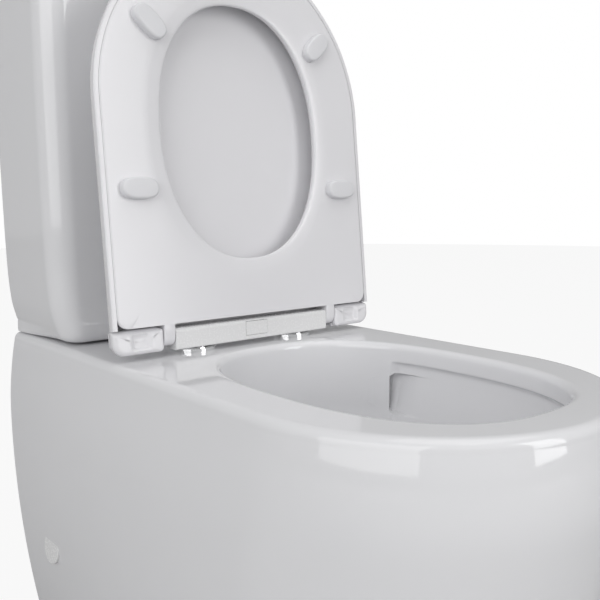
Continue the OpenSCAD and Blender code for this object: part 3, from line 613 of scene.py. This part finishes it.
def ring_skin():
    """The ring's closed skin: its side profile carried round the D, flat across, and its soft inner edge carried
    round the hole's superellipse."""
    side = through(with_steps(RING_SIDE), np.linspace(0, 13, 27))
    rear = RING_REAR + RING_TOP_SHIFT * smooth(0, 4.6, side[:, 0])
    ox, os = seat_outline(RING_HALF_W - side[:, 1], RING_REACH - side[:, 1], rear, RING_CORNER)
    outer = raised(ox, os, side[:, :1])
    way = np.arctan2(os[5] - HOLE_MIDDLE, ox[5])
    lip = through(with_steps(RING_HOLE), np.linspace(0, 15, 31))
    r = super_radius(way[None], HOLE_HALF_W + lip[:, 1:], HOLE_HALF_L + lip[:, 1:], HOLE_SQUARE)
    hole = raised(r * np.cos(way), HOLE_MIDDLE + r * np.sin(way), lip[:, :1])
    across = np.linspace(0, 1, 7)[1:-1, None, None]
    top = outer[-1] * (1 - across) + hole[0] * across
    under = hole[-1] * (1 - across) + outer[0] * across
    return np.concatenate([outer, top, hole, under, outer[:1]])


def ring_arm(sign):
    """An arm of the ring, on the side that sign says: a block, round about the hinge axis and square ahead of it."""
    a = even_turns(64)
    end = rounding(1.2, 5)
    x = np.concatenate([ARM_IN + end[:, 1], ARM_OUT - end[::-1, 1]])[:, None]
    inset = np.concatenate([end[:, 0], end[::-1, 0]])[:, None]
    r = ARM_R - inset
    ahead = np.cos(a) > 0
    s = np.where(ahead, np.minimum(np.cos(a) * 40, ARM_REACH - inset), np.cos(a) * r)
    t = np.where(ahead, np.clip(np.sin(a) * r * 1.6, ARM_LOW + inset, r), np.sin(a) * r)
    return pole(pole(raised(sign * x, s, t)), False)


def make_ring():
    """The ring with its two arms."""
    return piece("seat_ring_shell", [(ring_skin(), True)] + [(ring_arm(sign), True) for sign in (1, -1)], "ring",
                 seat_shell, ["seat_ring"], sharp=50)


def make_pads():
    """Four stubby pads with rounded edges: superellipse outlines drawn in over a soft edge to a slightly crowned
    face."""
    a = even_turns(72)
    edge = rounding(PAD_EDGE, 8)
    draw = np.concatenate([[0], edge[::-1, 0], [5, 8]])
    low = np.concatenate([[-11.4], -20.4 + edge[::-1, 1], [-20.5, -20.6]])
    r = super_radius(a[None], (PAD_HALF_L - draw)[:, None], (PAD_HALF_W - draw)[:, None], PAD_SQUARE)
    u, v = r * np.cos(a), r * np.sin(a)
    sheets = []
    for sign in (1, -1):
        for x, s, turn in PADS:
            c, n = math.cos(math.radians(turn)), math.sin(math.radians(turn))
            grid = raised(sign * (x + u * c - v * n), s + u * n + v * c, low[:, None])
            sheets.append((pole(pole(grid), False), True))
    return piece("seat_ring_pads", sheets, "ring", pad_soft, ["ring_bumpers"], sharp=60)


def lid_skin(inset, height, rear, corner):
    """One side of the lid's shell, drawn in by inset: a quarter-round edge of the given height round the D, then a
    faint dome. There is no wall across the back between the end blocks, and the rim stops short of the blocks."""
    a = np.linspace(0, math.pi / 2, 15)
    draw = np.concatenate([[1.0, 0.45, 0.12, 0], LID_EDGE * (1 - np.cos(a))])
    t = np.concatenate([[-11, -10.9 + 0.05 * (inset == 0), -10.5, -9.8], -9 + height * np.sin(a)])[:, None]
    rear = rear + corner[1] * draw
    x, s = seat_outline(LID_HALF_W - inset - draw, LID_REACH - inset - draw, rear, corner[0])
    t = np.broadcast_to(t, x.shape)
    middle = (np.abs(x) < BLOCK_IN - 0.02) & (s < 60) & (np.abs(s - rear[:, None]) < 0.01)
    block = ~middle & (seat_outline(LID_HALF_W, LID_REACH, -15, 13)[1][0] < BLOCK_FORE)
    apart = inset > 0
    t = np.where(middle, np.maximum(t, 12.0 + 0.05 * apart), np.where(block, np.maximum(t, -2.0), t))
    s = np.where(middle, np.maximum(s, -10.0 + 0.5 * apart), s)
    f = np.linspace(0, 1, 12)[1:, None]
    return raised(np.concatenate([x, x[-1] * (1 - f)]),
                  np.concatenate([s, s[-1] * (1 - f) + CROWN_S * f]),
                  np.concatenate([t, t[-1] + LID_CROWN * (1 - (1 - f) ** 2) + 0 * x[-1]]))


def block_outline():
    """An end block's outline on the right side, a rectangle with rounded corners, largest at the outer rear."""
    q = even_turns(120)
    x0, x1, s0, s1 = BLOCK_BOX
    ux, us = np.cos(q), np.sin(q)
    r = 1 / np.maximum(np.abs(ux) / ((x1 - x0) / 2), np.abs(us) / ((s1 - s0) / 2))
    x, s = (x0 + x1) / 2 + r * ux, (s0 + s1) / 2 + r * us
    for cx, cs, rad, sx, ss in ((x1, s0, 13.0, -1, 1), (x0, s0, 4.5, 1, 1), (x0, s1, 4.5, 1, -1),
                                (x1, s1, 1.5, -1, -1)):
        kx, ks = cx + sx * rad, cs + ss * rad
        far = np.hypot(x - kx, s - ks)
        pull = np.where(((x - kx) * sx < 0) & ((s - ks) * ss < 0) & (far > rad), rad / np.maximum(far, 1e-6), 1.0)
        x, s = kx + (x - kx) * pull, ks + (s - ks) * pull
    return x, s


def end_block(sign):
    """An end block, seen from below the closed seat: its outline rolled over a soft edge, in to a face with a
    flat-bottomed finger scoop."""
    x0, x1, s0, s1 = BLOCK_BOX
    px, ps = block_outline()
    near_x = 1 - smooth(x0 + 1, x0 + 10, px)
    fore = smooth(s1 - 3, s1 - 0.5, ps)
    rad = 5.0 * (1 - fore) + 10.5 * fore
    rad = rad * (1 - near_x * (1 - fore)) + 3.0 * near_x * (1 - fore)
    dx, ds = px - np.clip(px, x0 + 12, x1 - 14), ps - np.clip(ps, -3.5, -1.5)
    length = np.maximum(np.hypot(dx, ds), 1e-6)
    dx, ds = dx / length, ds / length
    face = -10.9
    rows = [(np.minimum(px, x1 - 16), np.maximum(ps, s0 + 6), 12.4 + 0 * px),
            (px - 1.6 * dx, ps - 1.6 * ds, 4.0 + 0 * px), (px - 0.9 * dx, ps - 0.9 * ds, -1.0 + 0 * px)]
    for b in np.linspace(0, math.pi / 2, 9):
        inward = rad * (1 - np.cos(b))
        rows.append((px - inward * dx, ps - inward * ds, face + rad * (1 - np.sin(b))))
    last_x, last_s = rows[-1][:2]
    for f in np.linspace(0, 1, 22)[1:]:
        rows.append((last_x * (1 - f) + SCOOP_X * f, last_s * (1 - f) - 3.0 * f, face + 0 * px))
    bx, bs, bt = (np.array([row[i] for row in rows]) for i in range(3))
    u, v = np.abs(bx - SCOOP_X) / SCOOP_HALF_X, np.abs(bs - SCOOP_S) / SCOOP_HALF_S
    bt = bt + SCOOP_DEPTH * (1 - smooth(0.55, 1.0, u)) * (1 - smooth(0.6, 1.0, v)) * (bt < -1)
    return pole(raised(sign * bx, bs, bt), False)


def make_seat_lid():
    """The lid: a closed shell of an outer and an inner skin, and its two end blocks."""
    outside = lid_skin(0, LID_EDGE, -15, (13, 0.35))
    inside = lid_skin(LID_WALL, LID_EDGE - LID_WALL, -11, (9, 0.3))
    shell = np.concatenate([outside[::-1], inside])
    return piece("seat_lid_shell", [(shell, True)] + [(end_block(sign), True) for sign in (1, -1)], "lid",
                 seat_shell, ["seat_lid"], sharp=50, weld=0.001)


# ---------------------------------------------------------------- cistern

# in millimetres; the tank's heights stand on its foot and the lid's on the tank's top
REAR = 340
TANK_HALF_W, TANK_WALL, TANK_FLOOR, TANK_FRONT = 187, 9.0, 11, wall_y / MM - 147
COVER_HALF_W, COVER_FRONT = 190, wall_y / MM - 150
COVER_SIDE, COVER_ROUND_DOWN, COVER_ROUND_IN, COVER_TOP = 26, 8, 9, 34
BUTTON_Y, BUTTON_HOLE_R = 268.5, 20
OUTLINE_SIDES = (34, 40, 20)                 # columns along half the front, a side and a corner

# height, half-width drawn in, front set back, front corner's radius
TANK = [(0, 28, 14, 14), (0.6, 24.8, 11, 15.2), (1.5, 22.4, 8.7, 16.5), (2.7, 20.2, 6.8, 17.5), (4, 18.5, 5.4, 18.4),
        (6, 16.6, 3.8, 19.8), (8, 15.1, 2.6, 21), (11, 13.6, 1.5, 22.6), (14, 12.4, 0.8, 24), (18, 11.0, 0.3, 24.7),
        (22, 9.9, 0, 25.1), (38, 6.2, 0, 26.2), (70, 3.4, 0, 27.2), (120, 1.9, 0, 27.8), (180, 1, 0, 28),
        (300, 0, 0, 28), (414, 0, 0, 28)]
TANK_HEIGHTS = np.concatenate([
    [0, 0.3, 0.6, 1, 1.5, 2.1, 2.7, 3.3, 4, 5, 6, 7, 8, 9.5, 11, 12.5, 14, 16, 18, 20, 22, 26, 31, 38, 46, 57, 70, 90,
     120, 150, 180], np.linspace(220, 410, 8), [412.6, 413.4, 413.8, 414]])

# the skirt that drops inside the tank: height and how far in
COVER_UNDER = np.array([(22, 16), (20, 16), (-11, 16), (-12, 15), (-12, 12), (-11, 11), (2, 11)], float)


def make_tank():
    """The cistern's tank: its outline at each height, rounded in at the foot, with the same drawn in by the wall
    inside and a flat floor."""
    low, top = tank_box[0, 2], tank_box[1, 2]
    at = TANK_HEIGHTS
    k = through(TANK, at)
    ease = np.where(at > 412, (at - 412) * 0.5, 0)
    x, y = rounded_box(TANK_HALF_W - k[:, 0] - ease, TANK_FRONT + k[:, 1] + ease, REAR + 0 * at, k[:, 2], 6 + 0 * at,
                       OUTLINE_SIDES)
    # the foot's rounding shrinks towards the wall
    x = x * (1 + np.maximum(k[:, :1] - 12.4, 0) * smooth(TANK_FRONT + 30, REAR - 10, y) / 160)
    outside = levels(x * MM, y * MM, low + at * MM)
    x, y = rounded_box(TANK_HALF_W - k[:, 0] - TANK_WALL, TANK_FRONT + k[:, 1] + TANK_WALL, REAR - TANK_WALL + 0 * at,
                       k[:, 2] - 3, 3 + 0 * at, OUTLINE_SIDES)
    inside = levels(x * MM, y * MM, np.maximum(low + at * MM, low + TANK_FLOOR * MM))
    inside[-1, :, 2] = top
    skin = np.concatenate([pole(outside, False), pole(inside[::-1])])
    return piece("tank_china", [(skin, True)], "root", glaze, ["cistern_tank"], sharp=50)


def make_cistern_lid():
    """The cistern's lid: an overhanging outline with a soft top edge and a skirt that drops inside the tank, and a
    hole for the flush button."""
    base = tank_box[1, 2]
    side = np.array([(2, 5.0), (2, 1.6), (2.3, 0.8), (2.9, 0.25), (4, 0), (COVER_SIDE, 0)])
    a = np.linspace(0, math.pi / 2, 12)[1:]
    top = np.stack([COVER_SIDE + COVER_ROUND_DOWN * np.sin(a), COVER_ROUND_IN * (1 - np.cos(a))], -1)
    height, draw = np.concatenate([side, top]).T
    x, y = rounded_box(COVER_HALF_W - draw, COVER_FRONT + draw, REAR - draw * 0.7, 30 - draw * 0.5, 8 + 0 * draw,
                       OUTLINE_SIDES)
    outer = levels(x * MM, y * MM, base + height * MM)
    way = np.arctan2(y[-1] - BUTTON_Y, x[-1])
    hole = np.stack([BUTTON_HOLE_R * np.cos(way), BUTTON_Y + BUTTON_HOLE_R * np.sin(way)], -1) * MM
    f = np.linspace(0, 1, 10)[1:, None, None]
    span = outer[-1][None, :, :2] * (1 - f) + hole[None] * f
    crown = np.concatenate([span, np.full(span.shape[:2] + (1,), base + COVER_TOP * MM)], -1)
    down = points(hole[:, 0], hole[:, 1], base + np.array([[33], [30], [24], [22]]) * MM)
    height, draw = COVER_UNDER.T
    x, y = rounded_box(TANK_HALF_W - draw, COVER_FRONT + 3 + draw, REAR - draw, 14 + 0 * draw, 3.5 + 0 * draw,
                       OUTLINE_SIDES)
    under = levels(x * MM, y * MM, base + height * MM)
    skin = np.concatenate([outer, crown, down, under, outer[:1]])
    return piece("cistern_lid_china", [(skin, True)], "tank_lid", glaze, ["cistern_lid"], sharp=50)


make_pan()
make_ring()
make_pads()
make_seat_lid()
make_tank()
make_cistern_lid()

# ---------------------------------------------------------------- camera, floor and light

def linked(name, data):
    """An object in the scene's own collection."""
    made = bpy.data.objects.new(name, data)
    bpy.context.scene.collection.objects.link(made)
    return made


def facing(place, ahead):
    """The matrix of a camera or lamp at place, looking along ahead."""
    return Matrix.Translation(place) @ Vector(ahead).to_track_quat("-Z", "Y").to_matrix().to_4x4()


def make_camera():
    """The camera to the left in front of the pan, a little above the rim."""
    data = bpy.data.cameras.new("camera")
    data.lens, data.sensor_width = 46.8, 36.0
    data.clip_start, data.clip_end = 0.01, 60
    eye = linked("camera", data)
    yaw, pitch, roll = math.radians(40.1), math.radians(-7.4), math.radians(-0.2)
    ahead = (math.sin(yaw) * math.cos(pitch), math.cos(yaw) * math.cos(pitch), math.sin(pitch))
    eye.matrix_world = facing((-0.5195, -0.6125, 0.5618), ahead) @ Matrix.Rotation(roll, 4, "Z")
    bpy.context.scene.camera = eye


def make_floor():
    """A wide pale round floor, nearly plain white to the camera."""
    r, a = np.linspace(0, 9, 40)[:, None], even_turns(60)
    floor = linked("floor", mesh_of("floor", [(points(r * np.cos(a), r * np.sin(a), 0 * r - 0.5 * MM), True)]))
    paint = bpy.data.materials.new("pale_floor")
    paint.use_nodes = True
    tree = paint.node_tree
    shader = tree.nodes["Principled BSDF"]
    shader.inputs["Base Color"].default_value = (0.5, 0.5, 0.5, 1)
    shader.inputs["Roughness"].default_value = 0.9
    seen = add_node(tree, "ShaderNodeLightPath")
    glow = add_node(tree, "ShaderNodeEmission", Strength=1.0)
    share = add_node(tree, "ShaderNodeMath", [(0, seen, "Is Camera Ray")], operation="MULTIPLY")
    share.inputs[1].default_value = 0.92
    both = add_node(tree, "ShaderNodeMixShader", [(0, share, 0), (1, shader, "BSDF"), (2, glow, "Emission")])
    tree.links.new(both.outputs[0], tree.nodes["Material Output"].inputs["Surface"])
    floor.data.materials.append(paint)


def area_light(name, place, aim, size, power):
    """A rectangular lamp at place, facing aim."""
    data = bpy.data.lights.new(name, "AREA")
    data.shape, data.size, data.size_y, data.energy = "RECTANGLE", size[0], size[1], power
    linked(name, data).matrix_world = facing(place, Vector(aim) - Vector(place))


def make_world():
    """Plain white all round, dimmer for the light it gives than for what the camera sees."""
    world = bpy.data.worlds.new("studio")
    world.use_nodes = True
    tree = world.node_tree
    seen = add_node(tree, "ShaderNodeLightPath")
    give = add_node(tree, "ShaderNodeMapRange", [("Value", seen, "Is Camera Ray")])
    give.inputs["To Min"].default_value, give.inputs["To Max"].default_value = 0.33, 1.0
    tree.nodes["Background"].inputs["Color"].default_value = (1, 1, 1, 1)
    tree.links.new(give.outputs[0], tree.nodes["Background"].inputs["Strength"])
    bpy.context.scene.world = world
    bpy.context.scene.view_settings.view_transform = "Standard"


make_camera()
make_floor()
make_world()
area_light("soft_front", (1.0, -2.9, 1.35), (0, 0, 0.45), (1.1, 2.2), 30)
area_light("soft_left", (-3.2, -1.2, 1.8), (0, 0, 0.4), (3.6, 3.2), 68)
area_light("soft_top", (0.4, -0.6, 3.2), (0, 0.1, 0.4), (2.6, 2.0), 20)

own = {
    "flush_valve_base": valve_white, "flush_valve_frame": valve_white, "overflow_tube": valve_white,
    "flush_plunger": valve_grey, "flush_seal": rubber, "half_flush_rod": valve_grey, "flush_valve_nut": valve_white,
    "coupling_washer": rubber, "coupling_plate": zinc, "coupling_bolts": brass, "coupling_rubbers": rubber,
    "coupling_wing_nuts": brass, "fill_valve_body": valve_white, "fill_valve_cap": valve_grey, "float_cup": valve_white,
    "float_arm": valve_grey, "fill_valve_washer": rubber, "fill_valve_nut": valve_white, "hinge_bolts": steel,
    "hinge_pillars": steel, "hinge_bolt_washers": rubber, "hinge_bolt_nuts": valve_white, "hinge_pins": steel,
    "seat_dampers": damper, "release_latches": steel, "lid_bumpers": pad_soft, "floor_brackets": zinc,
    "side_fixing_screws": steel, "bezel_back_nut": valve_white,
    "hinge_bar": hinge_shell, "release_button": hinge_shell, "hinge_discs": chrome,
    "flush_bezel": chrome, "full_flush_button": chrome, "half_flush_button": chrome, "side_fixing_caps": hinge_shell,
}
for node, coat in own.items():
    slots = frame["nodes"][node].data.materials
    slots.clear()
    slots.append(coat)
